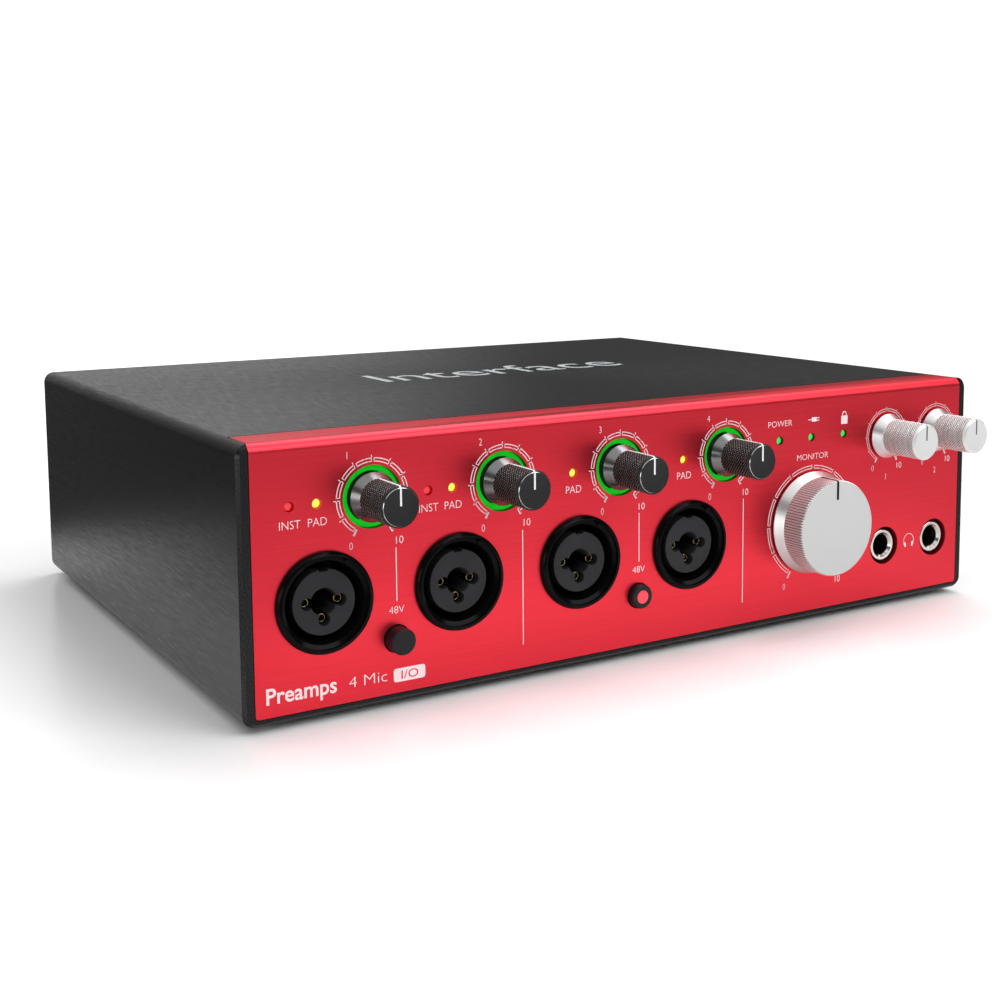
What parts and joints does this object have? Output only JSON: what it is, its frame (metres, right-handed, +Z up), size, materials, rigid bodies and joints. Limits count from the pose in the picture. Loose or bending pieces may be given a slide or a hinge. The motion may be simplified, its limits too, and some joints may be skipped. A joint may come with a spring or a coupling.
{
  "type": "audio interface",
  "caption": "Desktop audio interface: black metal case, red front panel with microphone sockets, gain and monitor knobs, phantom buttons, headphone outputs and rear line connectors.",
  "frame": {"origin": "on the table, under the middle of the whole object's box", "axes": "+X right as seen by a person facing the front, front faces -Y, +Z up"},
  "size_m": [0.24, 0.2088, 0.0691],
  "materials": {
    "case_black": "brushed, black anodised",
    "panel_red": "brushed, red anodised",
    "rear_black": "fine satin powder coat",
    "steel": "zinc plated",
    "screw_black": "black zinc",
    "circuit_green": "solder mask over glass epoxy",
    "sink_aluminium": "extruded, plain",
    "ribbon_grey": "flat flexible cable",
    "socket_gloss": "glossy moulded black",
    "insert_grey": "fine spark-eroded texture",
    "halo_green": "translucent light ring",
    "knob_black": "satin black",
    "shaft_steel": "turned",
    "contact_gold": "gold plated",
    "knob_silver": "turned and knurled",
    "socket_black": "moulded",
    "cap_black": "fine satin",
    "rocker_black": "satin moulded",
    "lamp_red": "translucent",
    "lamp_yellow": "translucent",
    "lamp_green": "translucent",
    "nickel": "bright nickel",
    "foot_rubber": "moulded rubber"
  },
  "bodies": {
    "chassis": {"board_screws": "steel", "board_standoffs": "steel", "channel_lamps": "lamp_yellow", "chassis_tray": "steel", "coax_sockets": "nickel", "combo_contacts": "contact_gold", "combo_housing_1": "socket_gloss", "combo_housing_2": "socket_gloss", "combo_housing_3": "socket_gloss", "combo_housing_4": "socket_gloss", "combo_insert_1": "insert_grey", "combo_insert_2": "insert_grey", "combo_insert_3": "insert_grey", "combo_insert_4": "insert_grey", "control_board": "circuit_green", "front_bracket": "steel", "front_panel": "panel_red", "gain_pots": "socket_black", "halo_ring_1": "halo_green", "halo_ring_2": "halo_green", "halo_ring_3": "halo_green", "halo_ring_4": "halo_green", "heat_sink": "sink_aluminium", "instrument_lamps": "lamp_red", "line_jacks": "socket_black", "main_board": "circuit_green", "midi_sockets": "socket_black", "monitor_pot": "socket_black", "optical_socket": "socket_black", "outer_sleeve": "case_black", "phantom_switches": "socket_black", "phones_jack_1": "socket_black", "phones_jack_2": "socket_black", "phones_jack_bushings": "nickel", "phones_pots": "socket_black", "power_inlet": "socket_black", "power_switch_frame": "socket_black", "rear_panel": "rear_black", "rear_panel_screws": "screw_black", "ribbon_cable": "ribbon_grey", "rubber_feet": "foot_rubber", "status_lamps": "lamp_green", "usb_socket": "steel"},
    "gain_1": {"gain_knob_1": "knob_black", "gain_shaft_1": "shaft_steel"},
    "gain_2": {"gain_knob_2": "knob_black", "gain_shaft_2": "shaft_steel"},
    "gain_3": {"gain_knob_3": "knob_black", "gain_shaft_3": "shaft_steel"},
    "gain_4": {"gain_knob_4": "knob_black", "gain_shaft_4": "shaft_steel"},
    "monitor": {"monitor_knob": "knob_silver", "monitor_shaft": "shaft_steel"},
    "phones_1": {"phones_knob_1": "knob_silver", "phones_shaft_1": "shaft_steel"},
    "phones_2": {"phones_knob_2": "knob_silver", "phones_shaft_2": "shaft_steel"},
    "phantom_1": {"phantom_button_1": "cap_black"},
    "phantom_2": {"phantom_button_2": "cap_black"},
    "power": {"power_rocker": "rocker_black"}
  },
  "joints": [
    {"name": "gain_turn_1", "type": "hinge", "parent": "chassis", "child": "gain_1", "pos_m": [-0.0861, -0.08815, 0.0536], "axis": [0, 1, 0], "range_deg": [-150, 150]},
    {"name": "gain_turn_2", "type": "hinge", "parent": "chassis", "child": "gain_2", "pos_m": [-0.04968, -0.08815, 0.0536], "axis": [0, 1, 0], "range_deg": [-150, 150]},
    {"name": "gain_turn_3", "type": "hinge", "parent": "chassis", "child": "gain_3", "pos_m": [-0.01326, -0.08815, 0.0536], "axis": [0, 1, 0], "range_deg": [-150, 150]},
    {"name": "gain_turn_4", "type": "hinge", "parent": "chassis", "child": "gain_4", "pos_m": [0.02316, -0.08815, 0.0536], "axis": [0, 1, 0], "range_deg": [-150, 150]},
    {"name": "monitor_turn", "type": "hinge", "parent": "chassis", "child": "monitor", "pos_m": [0.0554, -0.08815, 0.0305], "axis": [0, 1, 0], "range_deg": [-150, 150]},
    {"name": "phones_turn_1", "type": "hinge", "parent": "chassis", "child": "phones_1", "pos_m": [0.0854, -0.08815, 0.0536], "axis": [0, 1, 0], "range_deg": [-150, 150]},
    {"name": "phones_turn_2", "type": "hinge", "parent": "chassis", "child": "phones_2", "pos_m": [0.1066, -0.08815, 0.0536], "axis": [0, 1, 0], "range_deg": [-150, 150]},
    {"name": "phantom_push_1", "type": "slide", "parent": "chassis", "child": "phantom_1", "axis": [0, 1, 0], "range_m": [0, 0.002]},
    {"name": "phantom_push_2", "type": "slide", "parent": "chassis", "child": "phantom_2", "axis": [0, 1, 0], "range_m": [-0.002, 0]},
    {"name": "power_rock", "type": "hinge", "parent": "chassis", "child": "power", "pos_m": [0.098, 0.09515, 0.038], "axis": [1, 0, 0], "range_deg": [-16, 0]}
  ]
}
